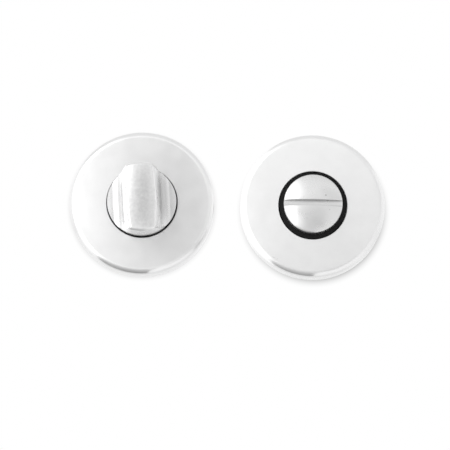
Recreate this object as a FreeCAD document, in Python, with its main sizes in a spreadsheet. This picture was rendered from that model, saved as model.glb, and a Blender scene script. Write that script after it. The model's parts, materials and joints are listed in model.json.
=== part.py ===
import FreeCAD, Part

import math
import os
from types import SimpleNamespace

import Sketcher
from FreeCAD import Placement, Rotation, Vector

# Bathroom thumb turn and coin release, a pair of round roses for the two faces of one door.
# Millimetres. +Z is up, -Y faces the viewer, and the door's face is the plane Y = 0.
# The origin is on the thumb turn's axis, at the door's face. The release stands beside it, along +X.

# Driving dimensions
SIZES = {
    # layout of the pair
    "rose_spacing": 9.4,
    "turn_rest_angle": 4.0,
    # rose: a pressed aluminium cap
    "rose_diameter": 52.0,
    "rose_height": 8.0,
    "rose_wall": 1.5,
    "rose_shoulder_radius": 2.2,
    "turn_rose_hole_diameter": 25.3,
    "release_rose_hole_diameter": 24.7,
    "rose_hole_edge_radius": 0.35,
    # base: a zinc casting under the rose
    "base_fit_gap": 0.2,
    "base_web_drop": 1.5,
    "base_rim_width": 2.4,
    "recess_side_gap": 0.8,
    "lightening_depth": 2.6,
    "lightening_inner_wall": 2.7,
    "lightening_outer_wall": 1.1,
    "lightening_angle": 46.0,
    "spigot_diameter": 9.0,
    "spigot_height": 3.0,
    "fixing_edge_distance": 5.3,
    "fixing_hole_gap": 0.2,
    "counterbore_gap": 0.2,
    "counterbore_depth": 2.6,
    "wood_screw_hole_diameter": 4.2,
    "wood_screw_countersink": 1.6,
    "spot_face_margin": 0.2,
    "spot_face_depth": 0.3,
    # wire ring that grips the rose
    "snap_wire_diameter": 0.8,
    "snap_groove_side_gap": 0.1,
    "snap_groove_floor_gap": 0.06,
    "snap_ring_height": 3.2,
    "snap_ring_play": 0.04,
    "snap_ring_sweep": 312.0,
    # bush: black nylon, its front ring shows round the button
    "bush_wall": 1.95,
    "bush_press_gap": 0.02,
    "bush_hole_gap": 0.2,
    "bush_front_recess": 0.8,
    "bush_edge_radius": 0.35,
    # hub, on the thumb turn and on the button
    "hub_diameter": 16.0,
    "hub_running_gap": 0.05,
    "head_running_gap": 0.1,
    "hub_end_recess": 0.2,
    "hub_end_chamfer": 0.3,
    # circlip and washers behind the base
    "circlip_thickness": 1.0,
    "circlip_band": 1.8,
    "circlip_offset": 0.35,
    "circlip_mouth_angle": 44.0,
    "circlip_ear_diameter": 3.2,
    "circlip_ear_hole_diameter": 1.3,
    "circlip_groove_depth": 0.4,
    "circlip_play": 0.05,
    "hub_land": 0.8,
    "backing_washer_thickness": 0.4,
    "washer_seat_width": 1.0,
    "washer_bore_gap": 0.15,
    "wave_washer_thickness": 0.3,
    "wave_washer_height": 0.5,
    "wave_washer_play": 0.05,
    # square spindle and its grub screw
    "spindle_width": 5.0,
    "spindle_gap": 0.05,
    "spindle_reach": 48.0,
    "spindle_depth": 10.0,
    "spindle_end_chamfer": 0.5,
    "socket_end_gap": 0.5,
    "grub_diameter": 4.0,
    "grub_gap": 0.03,
    "grub_head_sink": 0.45,
    "grub_point_gap": 0.05,
    "grub_point_chamfer": 0.65,
    "grub_hex_width": 2.0,
    "grub_hex_depth": 2.2,
    # thumb turn: a round stub with a finger scoop on each side of a blade
    "turn_hole_gap": 0.25,
    "turn_projection": 14.5,
    "turn_crown_rise": 1.0,
    "scoop_floor_height": 2.0,
    "scoop_radius": 3.7,
    "blade_front_width": 10.9,
    "blade_end_width": 8.0,
    "blade_edge_radius": 1.2,
    "scoop_floor_width": 5.1,
    # release button: a slotted dome
    "button_hole_gap": 1.85,
    "button_socket_depth": 9.0,
    "button_rim_height": 4.0,
    "dome_rise": 2.4,
    "button_edge_radius": 0.5,
    "coin_slot_width": 2.3,
    "coin_slot_depth": 2.8,
    # through bolts and the threaded sleeves that take them
    "bolt_diameter": 4.0,
    "bolt_length": 40.0,
    "bolt_head_diameter": 7.8,
    "bolt_head_height": 2.2,
    "bolt_head_edge_radius": 0.7,
    "bolt_tip_chamfer": 0.5,
    "sleeve_diameter": 6.0,
    "sleeve_length": 25.0,
    "sleeve_bore_diameter": 3.3,
    "sleeve_bore_depth": 20.0,
    "drive_slot_width": 0.9,
    "drive_slot_length": 4.6,
    "drive_slot_depth": 1.3,
}

FULL_TURN = 360.0
TOLERANCE = 1e-4
HEX_SIDES = 6
LIGHTENING_POCKETS = 4
FIRST_POCKET_ANGLE = 45.0
WAVES = 3
POINTS_PER_WAVE = 8

doc = FreeCAD.newDocument("BathroomTurnAndRelease")
sheet = doc.addObject("Spreadsheet::Sheet", "Sizes")


class Size:
    """A length or angle: its value now, and the expression over the sheet that drives it."""

    def __init__(self, value, expression):
        self.value = value
        self.expression = expression

    def joined(self, other, sign, value):
        return Size(value, f"({self.expression} {sign} {as_size(other).expression})")

    def __add__(self, other):
        return self.joined(other, "+", self.value + as_size(other).value)

    def __sub__(self, other):
        return self.joined(other, "-", self.value - as_size(other).value)

    def __mul__(self, other):
        return self.joined(other, "*", self.value * as_size(other).value)

    def __truediv__(self, other):
        return self.joined(other, "/", self.value / as_size(other).value)

    def __neg__(self):
        return Size(-self.value, f"(0 - {self.expression})")


def as_size(number):
    """A plain number as a Size; a Size as it is."""
    return number if isinstance(number, Size) else Size(float(number), f"{float(number)}")


def write_sheet():
    """Write each driving dimension to the sheet, and return them by name."""
    sizes = {}
    for row, (name, value) in enumerate(SIZES.items(), 1):
        sheet.set(f"A{row}", name)
        sheet.set(f"B{row}", str(value))
        sheet.setAlias(f"B{row}", name)
        sizes[name] = Size(value, f"Sizes.{name}")
    return SimpleNamespace(**sizes)


D = write_sheet()
doc.recompute()

ZERO = as_size(0)

# Radii and levels that several pieces share. Levels are along Y, so those in front of the door are negative.
rose_radius = D.rose_diameter / 2
rose_inner_radius = rose_radius - D.rose_wall
rose_inner_shoulder = D.rose_shoulder_radius - D.rose_wall
turn_hole_radius = D.turn_rose_hole_diameter / 2
release_hole_radius = D.release_rose_hole_diameter / 2
hub_radius = D.hub_diameter / 2
base_radius = rose_inner_radius - D.base_fit_gap
bush_bore_radius = hub_radius + D.hub_running_gap
bush_body_radius = bush_bore_radius + D.bush_wall
base_bore_radius = bush_body_radius + D.bush_press_gap
washer_radius = bush_body_radius + D.washer_seat_width
recess_radius = washer_radius + D.recess_side_gap
turn_radius = turn_hole_radius - D.turn_hole_gap
fixing_offset = base_radius - D.fixing_edge_distance
bolt_head_radius = D.bolt_head_diameter / 2
socket_half_width = D.spindle_width / 2 + D.spindle_gap
centre_distance = D.rose_diameter + D.rose_spacing

rose_face = -D.rose_height
rose_underside = rose_face + D.rose_wall
web_face = rose_underside + D.base_web_drop
bush_face = rose_face + D.bush_front_recess
head_back = bush_face - D.head_running_gap
fixing_seat = web_face + D.counterbore_depth
hub_end = -D.hub_end_recess
circlip_back = hub_end - D.hub_land - D.circlip_play
circlip_front = circlip_back - D.circlip_thickness
backing_washer_front = circlip_front - D.backing_washer_thickness
wave_washer_front = backing_washer_front - D.wave_washer_height
recess_floor = wave_washer_front - D.wave_washer_play
grub_level = (head_back + recess_floor) / 2
grub_foot = D.spindle_width / 2 + D.grub_point_gap


def tie(item, name, size):
    """Drive one property of an item by a Size."""
    item.setExpression(name, size.expression)


def new_body(label):
    """An empty body for one piece."""
    body = doc.addObject("PartDesign::Body", label)
    body.Label = label
    return body


def new_sketch(body, name, role, lift=ZERO):
    """A sketch on one of the body's own origin planes, lifted along its normal.

    On XY_Plane the sketch's axes are X and Y. On XZ_Plane they are X and Z, and the lift is towards the viewer.
    """
    sketch = body.newObject("Sketcher::SketchObject", name)
    plane = next(item for item in body.Origin.OriginFeatures if item.Role == role)
    sketch.AttachmentSupport = [(plane, "")]
    sketch.MapMode = "FlatFace"
    sketch.AttachmentOffset = Placement(Vector(0, 0, lift.value), Rotation())
    tie(sketch, "AttachmentOffset.Base.z", lift)
    return sketch


def hold(sketch, edge, end, across, along):
    """Hold one end of a sketch edge at its place from the sketch's origin."""
    for kind, size in (("DistanceX", across), ("DistanceY", along)):
        constraint = Sketcher.Constraint(kind, -1, 1, edge, end, size.value)
        number = sketch.addConstraint(constraint)
        tie(sketch, f"Constraints[{number}]", size)


def draw_outline(sketch, corners, crowned=False):
    """Draw a closed outline through corners given as pairs of Sizes.

    When crowned, the first edge is an arc that starts on the sketch's vertical axis, square to it.
    """
    places = [(as_size(across), as_size(along)) for across, along in corners]
    points = [Vector(across.value, along.value, 0) for across, along in places]
    for number, start in enumerate(points):
        end = points[(number + 1) % len(points)]
        if crowned and number == 0:
            rise = end.y - start.y
            radius = (end.x**2 + rise**2) / (2 * rise)
            centre = Vector(0, start.y + radius, 0)
            circle = Part.Circle(centre, Vector(0, 0, 1), radius)
            first = -math.pi / 2
            last = math.atan2(end.y - centre.y, end.x)
            sketch.addGeometry(Part.ArcOfCircle(circle, first, last))
            sketch.addConstraint(Sketcher.Constraint("PointOnObject", 0, 3, -2))
        else:
            sketch.addGeometry(Part.LineSegment(start, end))
    for number, place in enumerate(places):
        following = (number + 1) % len(points)
        sketch.addConstraint(Sketcher.Constraint("Coincident", number, 2, following, 1))
        hold(sketch, number, 1, *place)


def draw_circles(sketch, places, diameter):
    """Draw equal circles round the given places."""
    for across, along in places:
        across, along = as_size(across), as_size(along)
        centre = Vector(across.value, along.value, 0)
        edge = sketch.addGeometry(Part.Circle(centre, Vector(0, 0, 1), diameter.value / 2))
        hold(sketch, edge, 3, across, along)
        number = sketch.addConstraint(Sketcher.Constraint("Diameter", edge, diameter.value))
        tie(sketch, f"Constraints[{number}]", diameter)


def box_corners(half_width, low, high):
    """Corners of a rectangle that is centred across and runs from low to high."""
    return [(-half_width, low), (half_width, low), (half_width, high), (-half_width, high)]


def turn_round(body, name, corners, crowned=False):
    """Turn a half outline, radius across and level along, round the Y axis."""
    sketch = new_sketch(body, f"{name}_outline", "XY_Plane")
    draw_outline(sketch, corners, crowned)
    feature = body.newObject("PartDesign::Revolution", name)
    feature.Profile = sketch
    feature.ReferenceAxis = (sketch, ["V_Axis"])
    feature.Angle = FULL_TURN
    doc.recompute()
    return feature


def must_shrink(body, volume, name):
    """Stop if a cut has taken nothing away."""
    doc.recompute()
    if body.Shape.isNull() or body.Shape.Volume > volume - TOLERANCE:
        raise RuntimeError(f"{name} cut nothing from {body.Label}")


def cut_groove(body, name, corners):
    """Turn a groove round the Y axis out of a body."""
    volume = body.Shape.Volume
    sketch = new_sketch(body, f"{name}_outline", "XY_Plane")
    draw_outline(sketch, corners)
    groove = body.newObject("PartDesign::Groove", name)
    groove.Profile = sketch
    groove.ReferenceAxis = (sketch, ["V_Axis"])
    groove.Angle = FULL_TURN
    must_shrink(body, volume, name)
    return groove


def cut_pocket(body, name, sketch, depth, forward=False):
    """Cut a sketch into a body, towards the door or forward from it."""
    volume = body.Shape.Volume
    pocket = body.newObject("PartDesign::Pocket", name)
    pocket.Profile = sketch
    pocket.Length = depth.value
    pocket.Reversed = forward
    tie(pocket, "Length", depth)
    must_shrink(body, volume, name)
    return pocket


def raise_pad(body, name, sketch, height, backward=False):
    """Pad a sketch towards the viewer, or backward into the door."""
    pad = body.newObject("PartDesign::Pad", name)
    pad.Profile = sketch
    pad.Length = height.value
    pad.Reversed = backward
    tie(pad, "Length", height)
    doc.recompute()
    return pad


def repeat_round(body, feature, name, count):
    """Repeat a feature evenly round the Y axis."""
    pattern = body.newObject("PartDesign::PolarPattern", name)
    axis = next(item for item in body.Origin.OriginFeatures if item.Role == "Y_Axis")
    pattern.Originals = [feature]
    pattern.Axis = (axis, [""])
    pattern.Angle = FULL_TURN
    pattern.Occurrences = count
    body.Tip = pattern
    doc.recompute()
    return pattern


def ring_edges(shape, radius, level):
    """Names of the round edges with a given radius whose centre is at a given level along Y."""
    names = []
    for number, edge in enumerate(shape.Edges, 1):
        if edge.Degenerated or not isinstance(edge.Curve, Part.Circle):
            continue
        curve = edge.Curve
        if abs(curve.Radius - radius.value) < TOLERANCE and abs(curve.Center.y - level.value) < TOLERANCE:
            names.append(f"Edge{number}")
    return names


def edges_where(shape, test):
    """Names of the edges whose middle point passes a test."""
    names = []
    for number, edge in enumerate(shape.Edges, 1):
        if edge.Degenerated:
            continue
        middle = edge.valueAt((edge.FirstParameter + edge.LastParameter) / 2)
        if test(edge, middle):
            names.append(f"Edge{number}")
    return names


def soften(body, name, edges, radius, kind="Fillet"):
    """Round or chamfer the named edges of a body."""
    if not edges:
        raise RuntimeError(f"{name} found no edge on {body.Label}")
    base = body.Tip
    feature = body.newObject(f"PartDesign::{kind}", name)
    feature.Base = (base, edges)
    part = "Radius" if kind == "Fillet" else "Size"
    setattr(feature, part, radius.value)
    tie(feature, part, radius)
    doc.recompute()
    return feature


def make_rose(label, hole_radius):
    """The visible cap: a flat face, a rounded shoulder and a thin wall down to the door."""
    body = new_body(label)
    corners = [
        (hole_radius, rose_face),
        (rose_radius, rose_face),
        (rose_radius, ZERO),
        (rose_inner_radius, ZERO),
        (rose_inner_radius, rose_underside),
        (hole_radius, rose_underside),
    ]
    turn_round(body, "cap", corners)
    soften(body, "shoulder", ring_edges(body.Shape, rose_radius, rose_face), D.rose_shoulder_radius)
    inner_edges = ring_edges(body.Shape, rose_inner_radius, rose_underside)
    soften(body, "inner_shoulder", inner_edges, rose_inner_shoulder)
    hole_edges = ring_edges(body.Shape, hole_radius, rose_face)
    soften(body, "hole_edge", hole_edges, D.rose_hole_edge_radius)
    return body


def make_base(label):
    """The casting that is fixed to the door and carries the rose, the bush and the bolts."""
    body = new_body(label)
    rim_inner_radius = base_radius - D.base_rim_width
    corners = [
        (base_bore_radius, web_face),
        (rim_inner_radius, web_face),
        (rim_inner_radius, rose_underside),
        (base_radius, rose_underside),
        (base_radius, ZERO),
        (recess_radius, ZERO),
        (recess_radius, recess_floor),
        (base_bore_radius, recess_floor),
    ]
    turn_round(body, "disc", corners)
    rim_edges = ring_edges(body.Shape, base_radius, rose_underside)
    soften(body, "rim_chamfer", rim_edges, rose_inner_shoulder, "Chamfer")
    groove_half_width = D.snap_wire_diameter / 2 + D.snap_groove_side_gap
    groove_top = -(D.snap_ring_height + groove_half_width)
    groove_foot = -(D.snap_ring_height - groove_half_width)
    groove_depth = D.snap_ring_play + D.snap_wire_diameter + D.snap_groove_floor_gap
    groove_floor = rose_inner_radius - groove_depth
    groove_corners = [
        (groove_floor, groove_top),
        (rose_radius, groove_top),
        (rose_radius, groove_foot),
        (groove_floor, groove_foot),
    ]
    cut_groove(body, "snap_groove", groove_corners)
    fixings = [(-fixing_offset, ZERO), (fixing_offset, ZERO)]
    spigots = new_sketch(body, "spigot_outline", "XZ_Plane")
    draw_circles(spigots, fixings, D.spigot_diameter)
    raise_pad(body, "spigots", spigots, D.spigot_height, backward=True)
    cut_holes(body, "counterbores", fixings, bolt_head_radius + D.counterbore_gap, fixing_seat)
    hole_radius = D.sleeve_diameter / 2 + D.fixing_hole_gap
    cut_holes(body, "fixing_holes", fixings, hole_radius, D.spigot_height)
    screws = [(ZERO, -fixing_offset), (ZERO, fixing_offset)]
    screw_radius = D.wood_screw_hole_diameter / 2
    spot_face = web_face + D.spot_face_depth
    spot_radius = screw_radius + D.wood_screw_countersink + D.spot_face_margin
    cut_holes(body, "spot_faces", screws, spot_radius, spot_face)
    cut_holes(body, "wood_screw_holes", screws, screw_radius, ZERO)
    mouths = ring_edges(body.Shape, screw_radius, spot_face)
    soften(body, "countersinks", mouths, D.wood_screw_countersink, "Chamfer")
    lighten(body, rim_inner_radius)
    return body


def cut_holes(body, name, places, radius, floor):
    """Cut round holes from the level of the base's rim down to a floor."""
    sketch = new_sketch(body, f"{name}_outline", "XZ_Plane", -rose_underside)
    draw_circles(sketch, places, radius * 2)
    cut_pocket(body, name, sketch, floor - rose_underside)


def ray_point(radius, side):
    """A point at a radius on one edge of the first lightening pocket."""
    turn = math.radians(FIRST_POCKET_ANGLE + side * D.lightening_angle.value / 2)
    degrees = f"({FIRST_POCKET_ANGLE} + {side} * Sizes.lightening_angle / 2)"
    across = Size(radius.value * math.cos(turn), f"({radius.expression} * cos{degrees})")
    along = Size(radius.value * math.sin(turn), f"({radius.expression} * sin{degrees})")
    return across, along


def lighten(body, rim_inner_radius):
    """Cut the four curved pockets between the base's bolt and screw bosses."""
    sketch = new_sketch(body, "lightening_outline", "XZ_Plane", -web_face)
    inner_radius = recess_radius + D.lightening_inner_wall
    outer_radius = rim_inner_radius - D.lightening_outer_wall
    ends = []
    for radius in (inner_radius, outer_radius):
        first, last = ray_point(radius, -1), ray_point(radius, 1)
        turns = [math.atan2(along.value, across.value) for across, along in (first, last)]
        circle = Part.Circle(Vector(0, 0, 0), Vector(0, 0, 1), radius.value)
        arc = sketch.addGeometry(Part.ArcOfCircle(circle, *turns))
        sketch.addConstraint(Sketcher.Constraint("Coincident", arc, 3, -1, 1))
        hold(sketch, arc, 1, *first)
        number = sketch.addConstraint(Sketcher.Constraint("DistanceX", -1, 1, arc, 2, last[0].value))
        tie(sketch, f"Constraints[{number}]", last[0])
        ends.append([Vector(across.value, along.value, 0) for across, along in (first, last)])
    for end in (1, 2):
        side = sketch.addGeometry(Part.LineSegment(ends[0][end - 1], ends[1][end - 1]))
        sketch.addConstraint(Sketcher.Constraint("Coincident", side, 1, 0, end))
        sketch.addConstraint(Sketcher.Constraint("Coincident", side, 2, 1, end))
    pocket = cut_pocket(body, "lightening", sketch, D.lightening_depth)
    volume = body.Shape.Volume
    repeat_round(body, pocket, "lightening_ring", LIGHTENING_POCKETS)
    must_shrink(body, volume, "lightening ring")


def make_snap_ring(label):
    """The open wire ring in the base's groove, which grips the inside of the rose."""
    ring = doc.addObject("Part::Torus", label)
    ring.Label = label
    wire_radius = D.snap_wire_diameter / 2
    tie(ring, "Radius1", rose_inner_radius - wire_radius - D.snap_ring_play)
    tie(ring, "Radius2", wire_radius)
    tie(ring, "Angle3", D.snap_ring_sweep)
    ring.Placement = Placement(Vector(0, -D.snap_ring_height.value, 0), Rotation(Vector(1, 0, 0), 90))
    tie(ring, "Placement.Base.y", -D.snap_ring_height)
    return ring


def make_bush(label, hole_radius):
    """The nylon bearing: a body pressed into the base, and a front ring inside the rose's hole."""
    body = new_body(label)
    ring_radius = hole_radius - D.bush_hole_gap
    corners = [
        (bush_bore_radius, bush_face),
        (ring_radius, bush_face),
        (ring_radius, web_face),
        (bush_body_radius, web_face),
        (bush_body_radius, recess_floor),
        (bush_bore_radius, recess_floor),
    ]
    turn_round(body, "bearing", corners)
    soften(body, "front_edge", ring_edges(body.Shape, ring_radius, bush_face), D.bush_edge_radius)
    return body


def finish_hub(body, socket_depth):
    """Cut the circlip groove and the square spindle socket, and break the hub's end."""
    soften(body, "hub_end", ring_edges(body.Shape, hub_radius, hub_end), D.hub_end_chamfer, "Chamfer")
    groove_floor = hub_radius - D.circlip_groove_depth
    groove_mouth = hub_radius + D.circlip_groove_depth
    groove_front = circlip_front - D.circlip_play
    groove_back = circlip_back + D.circlip_play
    groove_corners = [
        (groove_floor, groove_front),
        (groove_mouth, groove_front),
        (groove_mouth, groove_back),
        (groove_floor, groove_back),
    ]
    cut_groove(body, "circlip_groove", groove_corners)
    socket = new_sketch(body, "socket_outline", "XZ_Plane")
    draw_outline(socket, box_corners(socket_half_width, -socket_half_width, socket_half_width))
    cut_pocket(body, "socket", socket, socket_depth, forward=True)


def make_thumb_turn(label):
    """The turn, one turned and milled piece: hub, round stub, two finger scoops and the blade."""
    body = new_body(label)
    apex = rose_face - D.turn_projection
    corners = [
        (ZERO, apex),
        (turn_radius, apex + D.turn_crown_rise),
        (turn_radius, head_back),
        (hub_radius, head_back),
        (hub_radius, hub_end),
        (ZERO, hub_end),
    ]
    turn_round(body, "stub", corners, crowned=True)
    finish_hub(body, D.spindle_depth + D.socket_end_gap)
    grub_hole = new_sketch(body, "grub_hole_outline", "YZ_Plane")
    draw_circles(grub_hole, [(grub_level, ZERO)], D.grub_diameter)
    cut_pocket(body, "grub_hole", grub_hole, hub_radius + D.grub_gap, forward=True)
    cut_scoops(body, apex)
    return body


def cut_scoops(body, apex):
    """Cut a scoop on each side of the blade, which is narrower at its ends and wider at its root."""
    volume = body.Shape.Volume
    floor = rose_face - D.scoop_floor_height
    above = apex - D.turn_crown_rise
    outside = turn_radius + D.turn_crown_rise
    root = turn_radius - D.scoop_floor_width
    sections = []
    for name, height, width in (
        ("scoop_foot", -turn_radius, D.blade_end_width),
        ("scoop_middle", ZERO, D.blade_front_width),
        ("scoop_head", turn_radius, D.blade_end_width),
    ):
        slope = (root - width / 2) / (floor - apex)
        tip = root - slope * (floor - above)
        sketch = new_sketch(body, name, "XY_Plane", height)
        draw_outline(sketch, [(tip, above), (outside, above), (outside, floor), (root, floor)])
        sections.append(sketch)
    doc.recompute()
    scoop = body.newObject("PartDesign::SubtractiveLoft", "scoop")
    scoop.Profile = sections[0]
    scoop.Sections = sections[1:]
    must_shrink(body, volume, "scoop")
    volume = body.Shape.Volume
    mirror = body.newObject("PartDesign::Mirrored", "second_scoop")
    plane = next(item for item in body.Origin.OriginFeatures if item.Role == "YZ_Plane")
    mirror.Originals = [scoop]
    mirror.MirrorPlane = (plane, [""])
    body.Tip = mirror
    must_shrink(body, volume, "second scoop")

    def at_root(edge, middle):
        flat = abs(middle.y - floor.value) < TOLERANCE
        return flat and abs(abs(middle.x) - root.value) < TOLERANCE

    soften(body, "scoop_roots", edges_where(body.Shape, at_root), D.scoop_radius)

    def on_front(edge, middle):
        ends = [vertex.Point.y for vertex in edge.Vertexes]
        lowest = (apex + D.turn_crown_rise).value + TOLERANCE
        return middle.y < lowest and max(ends) < lowest

    soften(body, "blade_edges", edges_where(body.Shape, on_front), D.blade_edge_radius)


def make_button(label):
    """The release button, one turned piece: hub, domed head and the coin slot across it."""
    body = new_body(label)
    radius = release_hole_radius - D.button_hole_gap
    rim = rose_face - D.button_rim_height
    apex = rim - D.dome_rise
    corners = [
        (ZERO, apex),
        (radius, rim),
        (radius, head_back),
        (hub_radius, head_back),
        (hub_radius, hub_end),
        (ZERO, hub_end),
    ]
    turn_round(body, "dome", corners, crowned=True)
    soften(body, "dome_edge", ring_edges(body.Shape, radius, rim), D.button_edge_radius)
    finish_hub(body, D.button_socket_depth)
    slot = new_sketch(body, "coin_slot_outline", "XZ_Plane", -apex)
    half_width = D.coin_slot_width / 2
    draw_outline(slot, box_corners(radius * 2, -half_width, half_width))
    cut_pocket(body, "coin_slot", slot, D.coin_slot_depth)
    return body


def make_spindle(label):
    """The square bar that passes through the door."""
    body = new_body(label)
    half = D.spindle_width / 2
    sketch = new_sketch(body, "bar_outline", "XZ_Plane", D.spindle_depth)
    draw_outline(sketch, box_corners(half, -half, half))
    raise_pad(body, "bar", sketch, D.spindle_depth + D.spindle_reach, backward=True)

    def at_end(edge, middle):
        near_end = abs(middle.y + D.spindle_depth.value) < TOLERANCE
        far_end = abs(middle.y - D.spindle_reach.value) < TOLERANCE
        return near_end or far_end

    soften(body, "ends", edges_where(body.Shape, at_end), D.spindle_end_chamfer, "Chamfer")
    return body


def make_grub_screw(label):
    """The headless screw in the hub, its axis along the piece's own Y, its point at the origin."""
    body = new_body(label)
    radius = D.grub_diameter / 2 - D.grub_gap
    length = hub_radius - D.grub_head_sink - grub_foot
    sketch = new_sketch(body, "thread_outline", "XZ_Plane")
    draw_circles(sketch, [(ZERO, ZERO)], radius * 2)
    raise_pad(body, "thread", sketch, length)
    soften(body, "point", ring_edges(body.Shape, radius, ZERO), D.grub_point_chamfer, "Chamfer")
    corner_radius = D.grub_hex_width / math.sqrt(3)
    hexagon = new_sketch(body, "hex_outline", "XZ_Plane", length)
    corners = []
    for number in range(HEX_SIDES):
        turn = 2 * math.pi * number / HEX_SIDES
        corners.append((corner_radius * math.cos(turn), corner_radius * math.sin(turn)))
    draw_outline(hexagon, corners)
    cut_pocket(body, "hex_socket", hexagon, D.grub_hex_depth)
    return body


def make_backing_washer(label):
    """The flat washer between the wave washer and the circlip."""
    body = new_body(label)
    bore = hub_radius + D.washer_bore_gap
    corners = [
        (bore, backing_washer_front),
        (washer_radius, backing_washer_front),
        (washer_radius, circlip_front),
        (bore, circlip_front),
    ]
    turn_round(body, "washer", corners)
    return body


def make_wave_washer(label):
    """The spring washer, a flat ring bent into waves, which takes up the end play."""
    washer = doc.addObject("Part::Feature", label)
    washer.Label = label
    thickness = D.wave_washer_thickness.value
    swing = (D.wave_washer_height.value - thickness) / 2
    inner = hub_radius.value + D.washer_bore_gap.value
    outer = washer_radius.value

    def wavy_edge(radius, level):
        """A closed wavy curve round the Y axis."""
        points = []
        count = WAVES * POINTS_PER_WAVE
        for number in range(count):
            turn = 2 * math.pi * number / count
            height = level + swing * math.cos(WAVES * turn)
            points.append(Vector(radius * math.cos(turn), height, radius * math.sin(turn)))
        curve = Part.BSplineCurve()
        curve.interpolate(Points=points, PeriodicFlag=True)
        return curve.toShape()

    front = wave_washer_front.value + swing
    edges = [
        wavy_edge(inner, front),
        wavy_edge(outer, front),
        wavy_edge(outer, front + thickness),
        wavy_edge(inner, front + thickness),
    ]
    faces = []
    for number, edge in enumerate(edges):
        faces.append(Part.makeRuledSurface(edge, edges[(number + 1) % len(edges)]))
    shell = Part.makeShell(faces)
    shell.sewShape()
    solid = Part.makeSolid(shell)
    if solid.Volume < 0:
        solid.reverse()
    washer.Shape = solid
    return washer


def make_circlip(label):
    """The open retaining ring, thickest opposite its mouth, with a pierced ear at each end."""
    body = new_body(label)
    inner_radius = hub_radius - D.circlip_groove_depth + D.circlip_play
    outer_radius = inner_radius + D.circlip_band
    front = -circlip_front
    ring = new_sketch(body, "ring_outline", "XZ_Plane", front)
    draw_circles(ring, [(ZERO, ZERO)], inner_radius * 2)
    draw_circles(ring, [(ZERO, -D.circlip_offset)], outer_radius * 2)
    raise_pad(body, "ring", ring, D.circlip_thickness, backward=True)
    half = math.radians(D.circlip_mouth_angle.value / 2)
    reach = outer_radius * 2
    mouth_half = Size(reach.value * math.tan(half), f"({reach.expression} * tan(Sizes.circlip_mouth_angle / 2))")
    mouth = new_sketch(body, "mouth_outline", "XZ_Plane", front)
    draw_outline(mouth, [(ZERO, ZERO), (mouth_half, reach), (-mouth_half, reach)])
    cut_pocket(body, "mouth", mouth, D.circlip_thickness)
    ear_radius = inner_radius + D.circlip_ear_diameter / 2
    ear_angle = half + D.circlip_ear_diameter.value / 2 / ear_radius.value
    across = ear_radius * math.sin(ear_angle)
    along = ear_radius * math.cos(ear_angle)
    places = [(-across, along), (across, along)]
    ears = new_sketch(body, "ear_outline", "XZ_Plane", front)
    draw_circles(ears, places, D.circlip_ear_diameter)
    raise_pad(body, "ears", ears, D.circlip_thickness, backward=True)
    holes = new_sketch(body, "ear_hole_outline", "XZ_Plane", front)
    draw_circles(holes, places, D.circlip_ear_hole_diameter)
    cut_pocket(body, "ear_holes", holes, D.circlip_thickness)
    return body


def cut_cross_drive(body, head_top):
    """Cut the cross recess of a screw head."""
    half_width = D.drive_slot_width / 2
    half_length = D.drive_slot_length / 2
    long_ways = ((half_length, half_width), (half_width, half_length))
    for number, (across, along) in enumerate(long_ways, 1):
        sketch = new_sketch(body, f"drive_{number}_outline", "XZ_Plane", -head_top)
        draw_outline(sketch, box_corners(across, -along, along))
        cut_pocket(body, f"drive_{number}", sketch, D.drive_slot_depth)


def make_screw(label, shank_radius, shank_length):
    """A round-headed screw on the Y axis, its head seated in the base."""
    body = new_body(label)
    head_top = fixing_seat - D.bolt_head_height
    tip = fixing_seat + shank_length
    corners = [
        (ZERO, head_top),
        (bolt_head_radius, head_top),
        (bolt_head_radius, fixing_seat),
        (shank_radius, fixing_seat),
        (shank_radius, tip),
        (ZERO, tip),
    ]
    turn_round(body, "screw", corners)
    soften(body, "head_edge", ring_edges(body.Shape, bolt_head_radius, head_top), D.bolt_head_edge_radius)
    soften(body, "tip", ring_edges(body.Shape, shank_radius, tip), D.bolt_tip_chamfer, "Chamfer")
    cut_cross_drive(body, head_top)
    return body, tip


def make_pair(label, screw):
    """Both screws of one half as one node: the screw and its copy at the two fixing centres."""
    screw.Placement.Base = Vector(-fixing_offset.value, 0, 0)
    tie(screw, "Placement.Base.x", -fixing_offset)
    twin = doc.addObject("Part::Mirroring", f"{label}_twin")
    twin.Source = screw
    twin.Normal = Vector(1, 0, 0)
    pair = doc.addObject("Part::Compound", label)
    pair.Label = label
    pair.Links = [screw, twin]
    return pair


def make_bolts(label):
    """The two through bolts of the thumb turn's half."""
    screw, _ = make_screw(f"{label}_single", D.bolt_diameter / 2, D.bolt_length)
    return make_pair(label, screw)


def make_sleeves(label):
    """The two threaded sleeves of the release's half, each bored from its far end."""
    screw, tip = make_screw(f"{label}_single", D.sleeve_diameter / 2, D.sleeve_length)
    bore = new_sketch(screw, "bore_outline", "XZ_Plane", -tip)
    draw_circles(bore, [(ZERO, ZERO)], D.sleeve_bore_diameter)
    cut_pocket(screw, "bore", bore, D.sleeve_bore_depth, forward=True)
    return make_pair(label, screw)


def place(item, position):
    """Move a piece, with the turn it has by itself, to a place in the pair."""
    item.Placement = position.multiply(item.Placement)
    return item


def stand_aside(item):
    """Move a piece along +X to the release's axis."""
    place(item, Placement(Vector(centre_distance.value, 0, 0), Rotation()))
    tie(item, "Placement.Base.x", centre_distance)
    return item


def make_washers(half):
    """The spring washer, flat washer and circlip behind one half's base."""
    washers = {"wave_washer": make_wave_washer, "backing_washer": make_backing_washer, "circlip": make_circlip}
    return [make(f"{half}_{name}") for name, make in washers.items()]


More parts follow.
